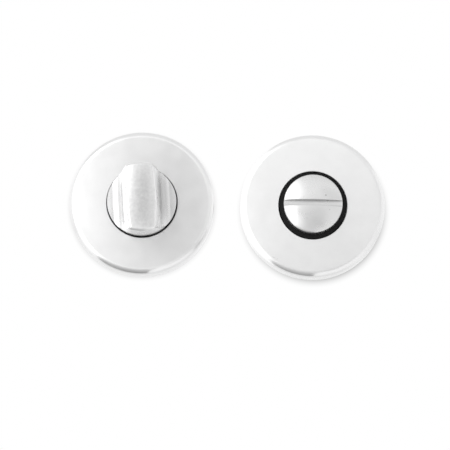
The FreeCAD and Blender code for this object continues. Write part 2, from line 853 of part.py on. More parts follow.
def build():
    """Make every piece and put it in its place."""
    rest = Placement(Vector(0, 0, 0), Rotation(Vector(0, 1, 0), -D.turn_rest_angle.value))
    grub_seat = Placement(Vector(grub_foot.value, grub_level.value, 0), Rotation(Vector(0, 0, 1), 90))
    turn_fixed = [
        make_rose("turn_rose", turn_hole_radius),
        make_base("turn_base"),
        make_snap_ring("turn_snap_ring"),
        make_bush("turn_bush", turn_hole_radius),
        make_bolts("turn_bolts"),
    ]
    turn_moving = [
        make_thumb_turn("thumb_turn"),
        make_spindle("turn_spindle"),
        place(make_grub_screw("turn_grub_screw"), grub_seat),
    ]
    turn_moving = [place(item, rest) for item in turn_moving + make_washers("turn")]
    release = [
        make_rose("release_rose", release_hole_radius),
        make_base("release_base"),
        make_snap_ring("release_snap_ring"),
        make_bush("release_bush", release_hole_radius),
        make_sleeves("release_sleeves"),
        make_button("release_button"),
    ]
    release = [stand_aside(item) for item in release + make_washers("release")]
    return turn_fixed + turn_moving + release


def check(nodes):
    """Stop if any object failed, or a piece is null or broken."""
    doc.recompute()
    failed = [item.Name for item in doc.Objects if {"Invalid", "Error"} & set(item.State)]
    if failed:
        raise RuntimeError(f"failed objects: {failed}")
    for node in nodes:
        if node.Shape.isNull() or not node.Shape.isValid() or not node.Shape.Solids:
            raise RuntimeError(f"{node.Label} has no valid solid")


def write_parts(nodes):
    """Write each piece to its own file, and print its volume."""
    os.makedirs("parts", exist_ok=True)
    for node in nodes:
        node.Shape.exportStep(f"parts/{node.Label}.step")
        print(f"{node.Label}: {len(node.Shape.Solids)} solid, {node.Shape.Volume:.1f} mm3")


pieces = build()
check(pieces)
write_parts(pieces)
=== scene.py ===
"""The looks of a bathroom turn and release: two round roses, one with a thumb turn, one with a coin slot."""

import json
import logging
import math
from dataclasses import dataclass, replace
from enum import Enum

import bmesh
import bpy
from mathutils import Matrix, Vector


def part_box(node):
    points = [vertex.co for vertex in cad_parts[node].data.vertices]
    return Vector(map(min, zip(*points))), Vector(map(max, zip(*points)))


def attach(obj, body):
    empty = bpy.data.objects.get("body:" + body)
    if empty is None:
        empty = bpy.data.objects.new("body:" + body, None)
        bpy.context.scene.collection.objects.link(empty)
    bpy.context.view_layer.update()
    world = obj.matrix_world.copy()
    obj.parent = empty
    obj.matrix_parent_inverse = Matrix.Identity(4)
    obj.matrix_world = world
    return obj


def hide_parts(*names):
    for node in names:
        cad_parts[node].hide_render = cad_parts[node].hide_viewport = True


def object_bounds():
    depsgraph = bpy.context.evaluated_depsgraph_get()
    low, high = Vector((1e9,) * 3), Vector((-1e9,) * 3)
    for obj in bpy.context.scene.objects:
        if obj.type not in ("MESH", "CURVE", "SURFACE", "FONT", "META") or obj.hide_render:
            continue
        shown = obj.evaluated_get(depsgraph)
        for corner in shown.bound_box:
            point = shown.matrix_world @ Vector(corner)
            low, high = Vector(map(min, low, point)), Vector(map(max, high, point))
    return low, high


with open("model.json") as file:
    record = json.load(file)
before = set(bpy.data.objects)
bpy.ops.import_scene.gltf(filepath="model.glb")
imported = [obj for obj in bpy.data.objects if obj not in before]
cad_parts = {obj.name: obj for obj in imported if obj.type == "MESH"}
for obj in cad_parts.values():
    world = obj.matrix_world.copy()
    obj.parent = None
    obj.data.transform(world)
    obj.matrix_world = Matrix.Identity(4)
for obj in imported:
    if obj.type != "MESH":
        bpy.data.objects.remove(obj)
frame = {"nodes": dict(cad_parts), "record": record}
CAD_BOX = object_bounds()

LOG = logging.getLogger("turn_and_release")
MM = 0.001
FULL_TURN = 2 * math.pi
RING_TOLERANCE = MM / 100
SPIN_MERGE = MM / 1000
COPY_MERGE = MM / 2000
FLAT_DEGREES = 0.3
FLAT_FACING = 0.9999
CLOUD_SPAN = (0.3, 0.7)
MARK_FADE = (0.2, 0.5)
# The occlusion value at which the painted corner shade is at its darkest.
DARKEST_CORNER = 0.45


class Slot(Enum):
    """The record's material slots."""

    SATIN = "satin_aluminium"
    ZINC = "zinc_casting"
    NYLON = "black_nylon"
    SPRING = "spring_steel"
    PLATED = "plated_steel"
    BLACK = "black_steel"


class Body(Enum):
    """The bodies that pieces ride on."""

    ROSES = "roses"
    TURN = "turn"
    RELEASE = "release"


# Shader helpers


def add_node(tree: bpy.types.NodeTree, kind: str, **settings: object) -> bpy.types.Node:
    """Add a shader node and set its properties and inputs.

    Args:
        tree: The node tree that gets the node.
        kind: The node's class name, without the ShaderNode part.
        **settings: Properties of the node, or values of the inputs with that name, spaces as underscores.

    Returns:
        The new node.
    """
    node = tree.nodes.new(f"ShaderNode{kind}")
    for name, value in settings.items():
        if hasattr(node, name):
            setattr(node, name, value)
        else:
            node.inputs[name.replace("_", " ")].default_value = value
    return node


def add_range(
    tree: bpy.types.NodeTree, source: bpy.types.NodeSocket, start: float, end: float, low: float, high: float
) -> bpy.types.NodeSocket:
    """Map a value that runs from start to end onto a range from low to high, and hold it there beyond."""
    ramp = add_node(tree, "MapRange", clamp=True)
    for name, value in (("From Min", start), ("From Max", end), ("To Min", low), ("To Max", high)):
        ramp.inputs[name].default_value = value
    tree.links.new(source, ramp.inputs["Value"])
    return ramp.outputs["Result"]


def add_math(
    tree: bpy.types.NodeTree, operation: str, first: bpy.types.NodeSocket, second: bpy.types.NodeSocket
) -> bpy.types.NodeSocket:
    """Join two values by a math operation."""
    node = add_node(tree, "Math", operation=operation)
    tree.links.new(first, node.inputs[0])
    tree.links.new(second, node.inputs[1])
    return node.outputs[0]


def add_grey(tree: bpy.types.NodeTree, shade: bpy.types.NodeSocket) -> bpy.types.NodeSocket:
    """Make a neutral colour of a value."""
    colour = add_node(tree, "CombineColor")
    for channel in ("Red", "Green", "Blue"):
        tree.links.new(shade, colour.inputs[channel])
    return colour.outputs["Color"]


def clear_behind(tree: bpy.types.NodeTree, shown: bpy.types.NodeSocket) -> bpy.types.NodeSocket:
    """Keep a shader on the front of a surface, and leave the back clear."""
    mix = add_node(tree, "MixShader")
    tree.links.new(add_node(tree, "NewGeometry").outputs["Backfacing"], mix.inputs["Fac"])
    tree.links.new(shown, mix.inputs[1])
    tree.links.new(add_node(tree, "BsdfTransparent").outputs[0], mix.inputs[2])
    return mix.outputs[0]


def grey(level: float) -> tuple[float, float, float, float]:
    """Return a neutral colour of one level."""
    return (level, level, level, 1.0)


def new_group(name: str, inputs: dict[str, float], outputs: tuple[str, ...]) -> bpy.types.NodeTree:
    """Make an empty shader node group.

    Args:
        name: The group's name.
        inputs: The number inputs with their defaults.
        outputs: The names of the number outputs.

    Returns:
        The group, with its input and output nodes placed.
    """
    group = bpy.data.node_groups.new(name, "ShaderNodeTree")
    for label, default in inputs.items():
        socket = group.interface.new_socket(label, in_out="INPUT", socket_type="NodeSocketFloat")
        socket.default_value = default
    for label in outputs:
        group.interface.new_socket(label, in_out="OUTPUT", socket_type="NodeSocketFloat")
    group.nodes.new("NodeGroupInput")
    group.nodes.new("NodeGroupOutput")
    return group


def blasted_grain() -> bpy.types.NodeTree:
    """Build the fine pitted texture of blasted, anodised or cast metal.

    Returns:
        A group with a Height for bump and a Cloud mask of slow, patchy variation.
    """
    group = new_group("blasted_grain", {"Grain": 0.25, "Patch": 9.0}, ("Height", "Cloud"))
    start, end = group.nodes["Group Input"], group.nodes["Group Output"]
    place = add_node(group, "TexCoord")
    fine = add_node(group, "TexNoise", Detail=3.0, Roughness=0.6)
    patchy = add_node(group, "TexNoise", Detail=4.0, Roughness=0.55)
    for noise, size in ((fine, "Grain"), (patchy, "Patch")):
        scale = add_node(group, "Math", operation="DIVIDE")
        scale.inputs[0].default_value = 1.0 / MM
        group.links.new(start.outputs[size], scale.inputs[1])
        group.links.new(scale.outputs[0], noise.inputs["Scale"])
        group.links.new(place.outputs["Object"], noise.inputs["Vector"])
    group.links.new(fine.outputs["Fac"], end.inputs["Height"])
    group.links.new(patchy.outputs["Fac"], end.inputs["Cloud"])
    return group


def short_mark() -> bpy.types.NodeTree:
    """Build the mask of one small mark on a surface that faces the viewer: round, or long and thin.

    Returns:
        A group whose Mask is 1 in the mark's middle and fades to 0 at its edge.
    """
    sizes = {"X": 0.0, "Z": 0.0, "Length": 0.2, "Width": 0.2, "Turn": 0.0}
    group = new_group("short_mark", sizes, ("Mask",))
    start, end = group.nodes["Group Input"], group.nodes["Group Output"]
    place = add_node(group, "TexCoord")
    axes = add_node(group, "SeparateXYZ")
    group.links.new(place.outputs["Object"], axes.inputs[0])
    offset = add_node(group, "CombineXYZ")
    for axis, socket in (("X", 0), ("Z", 1)):
        shift = add_math(group, "SUBTRACT", axes.outputs[axis], start.outputs[axis])
        group.links.new(shift, offset.inputs[socket])
    turned = add_node(group, "VectorRotate", rotation_type="Z_AXIS")
    group.links.new(offset.outputs[0], turned.inputs["Vector"])
    group.links.new(start.outputs["Turn"], turned.inputs["Angle"])
    size = add_node(group, "CombineXYZ", Z=1.0)
    group.links.new(start.outputs["Length"], size.inputs["X"])
    group.links.new(start.outputs["Width"], size.inputs["Y"])
    share = add_node(group, "VectorMath", operation="DIVIDE")
    group.links.new(turned.outputs[0], share.inputs[0])
    group.links.new(size.outputs[0], share.inputs[1])
    reach = add_node(group, "VectorMath", operation="LENGTH")
    group.links.new(share.outputs[0], reach.inputs[0])
    mask = add_range(group, reach.outputs["Value"], *MARK_FADE, 1.0, 0.0)
    group.links.new(mask, end.inputs["Mask"])
    return group


def new_material(name: str) -> tuple[bpy.types.Material, bpy.types.NodeTree, bpy.types.Node]:
    """Make a material that holds only a Principled BSDF.

    Args:
        name: The material's name.

    Returns:
        The material, its node tree and the shader node.
    """
    material = bpy.data.materials.new(name)
    material.use_nodes = True
    tree = material.node_tree
    return material, tree, tree.nodes["Principled BSDF"]


def bare_material(name: str) -> tuple[bpy.types.Material, bpy.types.NodeTree, bpy.types.Node]:
    """Make a material that holds only its output.

    Args:
        name: The material's name.

    Returns:
        The material, its node tree and the output node.
    """
    material = bpy.data.materials.new(name)
    material.use_nodes = True
    tree = material.node_tree
    tree.nodes.clear()
    return material, tree, add_node(tree, "OutputMaterial")


@dataclass(frozen=True)
class Mark:
    """A speck or scratch in a finish, or a spot of painted shade: its middle across and up, its size, its turn and how
    dark it is.
    """

    x_mm: float
    z_mm: float
    length_mm: float
    width_mm: float
    turn_degrees: float
    darkness: float

    def darken(
        self, tree: bpy.types.NodeTree, mask: bpy.types.NodeTree, shade: bpy.types.NodeSocket
    ) -> bpy.types.NodeSocket:
        """Darken a shade where the mark is.

        Args:
            tree: The material's node tree.
            mask: The shared mark group.
            shade: The grey level so far.

        Returns:
            The grey level with the mark in it.
        """
        spot = tree.nodes.new("ShaderNodeGroup")
        spot.node_tree = mask
        sizes = {"X": self.x_mm, "Z": self.z_mm, "Length": self.length_mm, "Width": self.width_mm}
        for name, value in sizes.items():
            spot.inputs[name].default_value = value * MM
        spot.inputs["Turn"].default_value = math.radians(self.turn_degrees)
        light = add_range(tree, spot.outputs["Mask"], 0.0, 1.0, 1.0, 1.0 - self.darkness)
        return add_math(tree, "MULTIPLY", shade, light)


@dataclass(frozen=True)
class GrainyFinish:
    """A finish with a fine grain: its colour and roughness drift a little, and the grain stands up as bump.

    Marks darken single spots: specks and scratches, or painted shade. Painted corner shade darkens the colour in inner
    corners by ambient occlusion.
    """

    name: str
    level: float
    drift: float
    roughness: float
    roughness_drift: float
    metallic: float
    grain_mm: float
    patch_mm: float
    bump: float
    bump_mm: float = 0.02
    shine: float = 0.5
    marks: tuple[Mark, ...] = ()
    corner_shade: float = 0.0
    corner_shade_reach_mm: float = 3.0

    def build(self, grain: bpy.types.NodeTree, mask: bpy.types.NodeTree) -> bpy.types.Material:
        """Make the material.

        Args:
            grain: The shared grain group.
            mask: The shared mark group.

        Returns:
            The finished material.
        """
        material, tree, shader = new_material(self.name)
        shader.inputs["Metallic"].default_value = self.metallic
        shader.inputs["Specular IOR Level"].default_value = self.shine
        texture = tree.nodes.new("ShaderNodeGroup")
        texture.node_tree = grain
        texture.inputs["Grain"].default_value = self.grain_mm
        texture.inputs["Patch"].default_value = self.patch_mm
        cloud = texture.outputs["Cloud"]
        shade = add_range(tree, cloud, *CLOUD_SPAN, self.level - self.drift, self.level + self.drift)
        for mark in self.marks:
            shade = mark.darken(tree, mask, shade)
        # Painted shade: the colour darkens in inner corners, where the occlusion is deep.
        if self.corner_shade:
            corner = add_node(tree, "AmbientOcclusion", samples=8, Distance=self.corner_shade_reach_mm * MM)
            light = add_range(tree, corner.outputs["AO"], DARKEST_CORNER, 1.0, 1.0 - self.corner_shade, 1.0)
            shade = add_math(tree, "MULTIPLY", shade, light)
        tree.links.new(add_grey(tree, shade), shader.inputs["Base Color"])
        low, high = self.roughness - self.roughness_drift, self.roughness + self.roughness_drift
        tree.links.new(add_range(tree, cloud, *CLOUD_SPAN, low, high), shader.inputs["Roughness"])
        bump = add_node(tree, "Bump", Strength=self.bump, Distance=self.bump_mm * MM)
        tree.links.new(texture.outputs["Height"], bump.inputs["Height"])
        tree.links.new(bump.outputs["Normal"], shader.inputs["Normal"])
        return material


# Painted shade on the thumb turn: a dark line along the root of its right scoop, and a darker band across its lower
# end.
ROOT_AND_END_SHADE = (Mark(7.5, 2.2, 28.0, 4.4, 86.0, 0.26), Mark(0.0, -12.2, 16.0, 3.0, 0.0, 0.18))
DOME_SPECKS = (Mark(65.8, 2.7, 0.8, 0.7, 0.0, 0.4), Mark(67.2, -2.5, 0.6, 0.4, 0.0, 0.3))
ROSE_SCRATCHES = (Mark(47.6, -19.2, 1.7, 0.3, 25.0, 0.22), Mark(48.9, -19.7, 0.8, 0.3, -40.0, 0.2))
SATIN = GrainyFinish("satin_aluminium", 0.88, 0.012, 0.3, 0.02, 1.0, 0.22, 6.0, 0.25)
# The turn's smooth faces, with painted root shade and painted corner shade.
TURNED = replace(
    SATIN,
    name="satin_aluminium_turned",
    level=0.92,
    roughness=0.28,
    bump=0.3,
    marks=ROOT_AND_END_SHADE,
    corner_shade=0.9,
    corner_shade_reach_mm=4.5,
)
BLASTED = replace(SATIN, name="satin_aluminium_blasted", level=0.785, drift=0.045, patch_mm=1.0, bump=0.9)
# The button's dome: specks, and a little painted corner shade in its slot.
SPECKED = replace(
    TURNED, name="satin_aluminium_specked", level=0.76, bump=0.5, marks=DOME_SPECKS, corner_shade=0.35, corner_shade_reach_mm=1.0
)
SCRATCHED = replace(SATIN, name="satin_aluminium_scratched", marks=ROSE_SCRATCHES)
ZINC = GrainyFinish("zinc_casting", 0.42, 0.04, 0.48, 0.06, 1.0, 0.35, 5.0, 0.6, 0.04)
NYLON = GrainyFinish("black_nylon", 0.009, 0.002, 0.45, 0.05, 0.0, 0.15, 4.0, 0.3, shine=0.12)
SPRING = GrainyFinish("spring_steel", 0.12, 0.02, 0.36, 0.05, 1.0, 0.2, 3.0, 0.25)
PLATED = GrainyFinish("plated_steel", 0.66, 0.03, 0.28, 0.05, 1.0, 0.3, 4.0, 0.2)
BLACK = GrainyFinish("black_steel", 0.05, 0.01, 0.4, 0.05, 1.0, 0.2, 2.0, 0.25)


# Mesh helpers


def spin_profile(name: str, centre: Vector, profile: list[tuple[float, float]], steps: int) -> bmesh.types.BMesh:
    """Turn a closed profile round an axis along Y.

    Args:
        name: The piece, for the log.
        centre: A point on the axis.
        profile: Corners as radius and level along Y, in metres.
        steps: How many faces go round.

    Returns:
        The turned solid, its corners still sharp.
    """
    mesh = bmesh.new()
    corners = [mesh.verts.new((centre.x + radius, level, centre.z)) for radius, level in profile]
    edges = [mesh.edges.new((corners[n], corners[(n + 1) % len(corners)])) for n in range(len(corners))]
    bmesh.ops.spin(
        mesh,
        geom=corners + edges,
        cent=centre,
        axis=(0, 1, 0),
        angle=FULL_TURN,
        steps=steps,
        use_merge=True,
        use_duplicate=False,
    )
    bmesh.ops.remove_doubles(mesh, verts=mesh.verts, dist=SPIN_MERGE)
    bmesh.ops.recalc_face_normals(mesh, faces=mesh.faces)
    LOG.info("%s: %d faces", name, len(mesh.faces))
    return mesh


def round_ring(
    mesh: bmesh.types.BMesh, centre: Vector, radius: float, level: float, size: float, segments: int
) -> None:
    """Round the circular edge that lies at a radius and a level.

    Args:
        mesh: The turned solid.
        centre: A point on its axis.
        radius: The edge's radius.
        level: The edge's level along Y.
        size: The radius of the rounding.
        segments: Faces across the rounding.
    """
    found = []
    for edge in mesh.edges:
        ends = [vertex.co - centre for vertex in edge.verts]
        level_near = all(abs(end.y + centre.y - level) < RING_TOLERANCE for end in ends)
        if level_near and all(abs(math.hypot(end.x, end.z) - radius) < RING_TOLERANCE for end in ends):
            found.append(edge)
    bmesh.ops.bevel(mesh, geom=found, offset=size, segments=segments, profile=0.5, affect="EDGES", material=-1)


def new_object(mesh: bmesh.types.BMesh, name: str, material: bpy.types.Material) -> bpy.types.Object:
    """Turn a bmesh, which is freed, into an object of the scene with one material."""
    data = bpy.data.meshes.new(name)
    mesh.to_mesh(data)
    mesh.free()
    data.materials.append(material)
    piece = bpy.data.objects.new(name, data)
    bpy.context.scene.collection.objects.link(piece)
    return piece


def finish_piece(
    mesh: bmesh.types.BMesh,
    name: str,
    material: bpy.types.Material,
    body: Body,
    replaced: str | None = None,
    sharp_degrees: float = 32.0,
    second: bpy.types.Material | None = None,
) -> bpy.types.Object:
    """Turn a bmesh into a shaded object that rides on a body, and may stand for a CAD node.

    Large faces lead the shading, so that flat faces look flat beside their rounded edges.

    Args:
        mesh: The modelled shape, which is freed.
        name: The object's name.
        material: Its finish.
        body: The body that carries it.
        replaced: The node that it stands for, if any.
        sharp_degrees: Edges that turn by more than this stay sharp.
        second: The finish of the faces with material index 1, if any.

    Returns:
        The new object.
    """
    piece = new_object(mesh, name, material)
    piece.data.shade_smooth()
    piece.data.set_sharp_from_angle(angle=math.radians(sharp_degrees))
    if second:
        piece.data.materials.append(second)
    weighting = piece.modifiers.new("even_shading", "WEIGHTED_NORMAL")
    weighting.mode = "FACE_AREA"
    weighting.keep_sharp = True
    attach(piece, body.value)
    if replaced:
        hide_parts(replaced)
    return piece


def even_copy(node: str) -> bmesh.types.BMesh:
    """Copy a CAD node's mesh, with doubled corners merged and the triangles of flat faces joined."""
    mesh = bmesh.new()
    mesh.from_mesh(frame["nodes"][node].data)
    bmesh.ops.remove_doubles(mesh, verts=mesh.verts, dist=COPY_MERGE)
    bmesh.ops.dissolve_limit(mesh, angle_limit=math.radians(FLAT_DEGREES), verts=mesh.verts, edges=mesh.edges)
    bmesh.ops.recalc_face_normals(mesh, faces=mesh.faces)
    return mesh


def cut_off(mesh: bmesh.types.BMesh, point: tuple[float, float, float], outward: tuple[float, float, float]) -> None:
    """Cut off what lies outward of a plane, and close the cut."""
    everything = [*mesh.verts, *mesh.edges, *mesh.faces]
    cut = bmesh.ops.bisect_plane(mesh, geom=everything, plane_co=point, plane_no=outward, clear_outer=True)
    rim = [item for item in cut["geom_cut"] if isinstance(item, bmesh.types.BMEdge)]
    bmesh.ops.edgenet_fill(mesh, edges=rim)
    bmesh.ops.recalc_face_normals(mesh, faces=mesh.faces)


@dataclass
class Rose:
    """A pressed cap with a rounded shoulder, sized by its CAD node."""

    node: str
    hole_radius: float
    wall: float = 1.5 * MM
    shoulder: float = 2.2 * MM
    shoulder_faces: int = 14
    inner_shoulder: float = 0.7 * MM
    inner_faces: int = 5
    hole_edge: float = 0.35 * MM
    hole_faces: int = 4
    steps: int = 256

    def build(self, material: bpy.types.Material) -> bpy.types.Object:
        """Model the cap and put it in the node's place.

        Args:
            material: The satin finish.

        Returns:
            The cap.
        """
        low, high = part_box(self.node)
        centre = (low + high) / 2
        radius = (high.x - low.x) / 2
        face = low.y
        inner = radius - self.wall
        underside = face + self.wall
        profile = [
            (self.hole_radius, face),
            (radius, face),
            (radius, high.y),
            (inner, high.y),
            (inner, underside),
            (self.hole_radius, underside),
        ]
        mesh = spin_profile(self.node, centre, profile, self.steps)
        round_ring(mesh, centre, radius, face, self.shoulder, self.shoulder_faces)
        round_ring(mesh, centre, inner, underside, self.inner_shoulder, self.inner_faces)
        round_ring(mesh, centre, self.hole_radius, face, self.hole_edge, self.hole_faces)
        return finish_piece(mesh, f"{self.node}_cap", material, Body.ROSES, self.node)


@dataclass
class ThumbTurn:
    """The turn as in the CAD, whose blade has a blasted and slightly crowned front between its smooth scoops."""

    node: str
    front_depth: float = 1.3 * MM
    front_facing: float = 0.75
    crown_radius: float = 35.7 * MM
    crown_middle: float = -1.5 * MM
    crown_depth: float = 4.0 * MM
    crown_slices: int = 37

    def build(self, smooth: bpy.types.Material, front: bpy.types.Material) -> bpy.types.Object:
        """Copy the node, slice the blade's front so that it can bend, crown it and give it a finish of its own.

        Args:
            smooth: The finish of the scoops and the stub.
            front: The finish of the front.

        Returns:
            The turn.
        """
        low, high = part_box(self.node)
        mesh = even_copy(self.node)
        for number in range(1, self.crown_slices):
            place = low.x + (high.x - low.x) * number / self.crown_slices
            faces = self.front(mesh, low.y)
            edges = {edge for face in faces for edge in face.edges}
            corners = {corner for face in faces for corner in face.verts}
            bmesh.ops.bisect_plane(mesh, geom=[*corners, *edges, *faces], plane_co=(place, 0, 0), plane_no=(1, 0, 0))
        for face in self.front(mesh, low.y):
            face.material_index = 1
        self.crown(mesh, low.y)
        return finish_piece(mesh, f"{self.node}_shaded", smooth, Body.TURN, self.node, second=front)

    def front(self, mesh: bmesh.types.BMesh, level: float) -> list[bmesh.types.BMFace]:
        """List the faces of the blade's front, its rounded edges included."""
        near = [face for face in mesh.faces if face.calc_center_median().y < level + self.front_depth]
        return [face for face in near if -face.normal.y > self.front_facing]

    def crown(self, mesh: bmesh.types.BMesh, level: float) -> None:
        """Let the blade's front fall away to both sides of its middle, and less so further back."""
        for corner in mesh.verts:
            share = (level + self.crown_depth - corner.co.y) / (self.crown_depth - self.front_depth)
            fall = (corner.co.x - self.crown_middle) ** 2 / (2 * self.crown_radius)
            corner.co.y += fall * min(max(share, 0.0), 1.0)


@dataclass
class Button:
    """The release button: hub as in the CAD, and a finely turned dome with the coin slot across it."""

    node: str
    dome_rise: float = 2.4 * MM
    rim_edge: float = 0.5 * MM
    rim_faces: int = 5
    slot_width: float = 2.3 * MM
    slot_depth: float = 2.8 * MM
    head_depth: float = 3.4 * MM
    rings: int = 36
    steps: int = 256

    def build(self, material: bpy.types.Material) -> bpy.types.Object:
        """Keep the CAD hub, and put the dome on it in three parts: above, below and under the slot.

        Args:
            material: The turned finish.

        Returns:
            The button.
        """
        low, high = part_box(self.node)
        centre = (low + high) / 2
        mesh = even_copy(self.node)
        cut_off(mesh, (0, low.y + self.head_depth, 0), (0, -1, 0))
        half = self.slot_width / 2
        upper, lower, floor = (0, 0, centre.z + half), (0, 0, centre.z - half), (0, low.y + self.slot_depth, 0)
        for cuts in (
            [(upper, (0, 0, -1))],
            [(lower, (0, 0, 1))],
            [(upper, (0, 0, 1)), (lower, (0, 0, -1)), (floor, (0, -1, 0))],
        ):
            part = self.head(centre, (high.x - low.x) / 2, low.y)
            for point, outward in cuts:
                cut_off(part, point, outward)
            data = bpy.data.meshes.new("part")
            part.to_mesh(data)
            part.free()
            mesh.from_mesh(data)
            bpy.data.meshes.remove(data)
        return finish_piece(mesh, f"{self.node}_domed", material, Body.RELEASE, self.node)

    def head(self, centre: Vector, radius: float, apex: float) -> bmesh.types.BMesh:
        """Turn the dome, its rounded rim and the start of its wall, without the slot."""
        rim = apex + self.dome_rise
        curve = (radius**2 + self.dome_rise**2) / (2 * self.dome_rise)
        profile = []
        for number in range(self.rings + 1):
            turn = math.asin(radius / curve) * number / self.rings
            profile.append((curve * math.sin(turn), apex + curve * (1 - math.cos(turn))))
        profile += [(radius, apex + self.head_depth), (0, apex + self.head_depth)]
        mesh = spin_profile(self.node, centre, profile, self.steps)
        round_ring(mesh, centre, radius, rim, self.rim_edge, self.rim_faces)
        return mesh


@dataclass
class Bush:
    """The moulded nylon bearing, whose front ring lies in the rose's hole."""

    node: str
    bore_radius: float = 8.05 * MM
    body_radius: float = 10.0 * MM
    web_level: float = -5.0 * MM
    front_edge: float = 0.35 * MM
    edge_faces: int = 5
    steps: int = 192

    def build(self, material: bpy.types.Material) -> bpy.types.Object:
        """Model the bearing in the node's place.

        Args:
            material: The nylon finish.

        Returns:
            The bearing.
        """
        low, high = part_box(self.node)
        centre = (low + high) / 2
        ring_radius = (high.x - low.x) / 2
        profile = [
            (self.bore_radius, low.y),
            (ring_radius, low.y),
            (ring_radius, self.web_level),
            (self.body_radius, self.web_level),
            (self.body_radius, high.y),
            (self.bore_radius, high.y),
        ]
        mesh = spin_profile(self.node, centre, profile, self.steps)
        round_ring(mesh, centre, ring_radius, low.y, self.front_edge, self.edge_faces)
        return finish_piece(mesh, f"{self.node}_bearing", material, Body.ROSES, self.node)


@dataclass
class Thread:
    """A screw thread round one or more axes along Y: a wedge-shaped ridge that climbs in a helix."""

    name: str
    centres: list[Vector]
    root_radius: float
    crest_radius: float
    start: float
    length: float
    pitch: float = 0.7 * MM
    steps: int = 32
    foot_share: float = 0.4
    crest_share: float = 0.08

    def build(self, material: bpy.types.Material, slot: Slot, body: Body) -> bpy.types.Object:
        """Wind one turn of the ridge round each axis, and repeat it along the thread.

        Args:
            material: The thread's finish.
            slot: The record's material slot, which is not used.
            body: The body that carries it.

        Returns:
            The thread.
        """
        mesh = bmesh.new()
        for centre in self.centres:
            corners = []
            for radius, share in (
                (self.root_radius, -self.foot_share),
                (self.crest_radius, -self.crest_share),
                (self.crest_radius, self.crest_share),
                (self.root_radius, self.foot_share),
            ):
                level = self.start + (self.foot_share + share) * self.pitch
                corners.append(mesh.verts.new((centre.x + radius, level, centre.z)))
            bmesh.ops.spin(
                mesh,
                geom=[mesh.faces.new(corners)],
                cent=centre,
                axis=(0, 1, 0),
                dvec=(0, self.pitch / self.steps, 0),
                angle=FULL_TURN,
                steps=self.steps,
                use_duplicate=False,
            )
        bmesh.ops.recalc_face_normals(mesh, faces=mesh.faces)
        piece = finish_piece(mesh, self.name, material, body)
        turns = piece.modifiers.new("turns", "ARRAY")
        turns.use_relative_offset = False
        turns.use_constant_offset = True
        turns.constant_offset_displace = (0, self.pitch, 0)
        turns.count = round(self.length / self.pitch) - 1
        return piece


@dataclass
class ThreadedBolts:
    """The two bolts of the turn's half: heads as in the CAD, and shanks whose far stretch carries a thread."""

    node: str
    shank_radius: float = 2.0 * MM
    core_radius: float = 1.62 * MM
    thread_start: float = 10.0 * MM
    thread_sink: float = 0.05 * MM
    core_overlap: float = 0.5 * MM
    tip_chamfer: float = 0.5 * MM
    sides: int = 48

    def build(self, material: bpy.types.Material) -> bpy.types.Object:
        """Cut the CAD shanks short, and grow threaded ones from them.

        Args:
            material: The plated finish.

        Returns:
            The bolts.
        """
        low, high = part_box(self.node)
        head_radius = (high.z - low.z) / 2
        mesh = even_copy(self.node)
        cut_off(mesh, (0, self.thread_start, 0), (0, 1, 0))
        middle = (low.z + high.z) / 2
        axes = [Vector((x, 0, middle)) for x in (low.x + head_radius, high.x - head_radius)]
        for axis in axes:
            self.add_core(mesh, axis, high.y)
        bmesh.ops.recalc_face_normals(mesh, faces=mesh.faces)
        length = high.y - self.thread_start - self.tip_chamfer
        root = self.core_radius - self.thread_sink
        thread = Thread(f"{self.node}_thread", axes, root, self.shank_radius, self.thread_start, length)
        thread.build(material, Slot.PLATED, Body.ROSES)
        return finish_piece(mesh, f"{self.node}_cores", material, Body.ROSES, self.node)

    def add_core(self, mesh: bmesh.types.BMesh, axis: Vector, end: float) -> None:
        """Add the round core under the thread, with its chamfered tip."""
        start = self.thread_start - self.core_overlap
        shoulder = end - self.tip_chamfer
        tip_radius = self.core_radius - self.tip_chamfer / 2
        for low, high, radius in ((start, shoulder, self.core_radius), (shoulder, end, tip_radius)):
            middle = Matrix.Translation((axis.x, (low + high) / 2, axis.z))
            bmesh.ops.create_cone(
                mesh,
                cap_ends=True,
                segments=self.sides,
                radius1=radius,
                radius2=self.core_radius,
                depth=high - low,
                matrix=middle @ Matrix.Rotation(math.pi / 2, 4, "X"),
            )


# The studio


class Facing(Enum):
    """Which way a card faces, as the axes of its two ramps and its turn: to the viewer, up or right."""

    VIEWER = ("X", "Z", 0)
    SKY = ("X", "Y", 0)
    RIGHT = ("Y", "Z", 90)


def add_stage(mesh: bmesh.types.BMesh, name: str, material: bpy.types.Material) -> bpy.types.Object:
    """Stand a bmesh, which is freed, on the stage, out of sight of lamps and of matt surfaces."""
    piece = new_object(mesh, name, material)
    piece.visible_diffuse = False
    piece.visible_shadow = False
    return piece


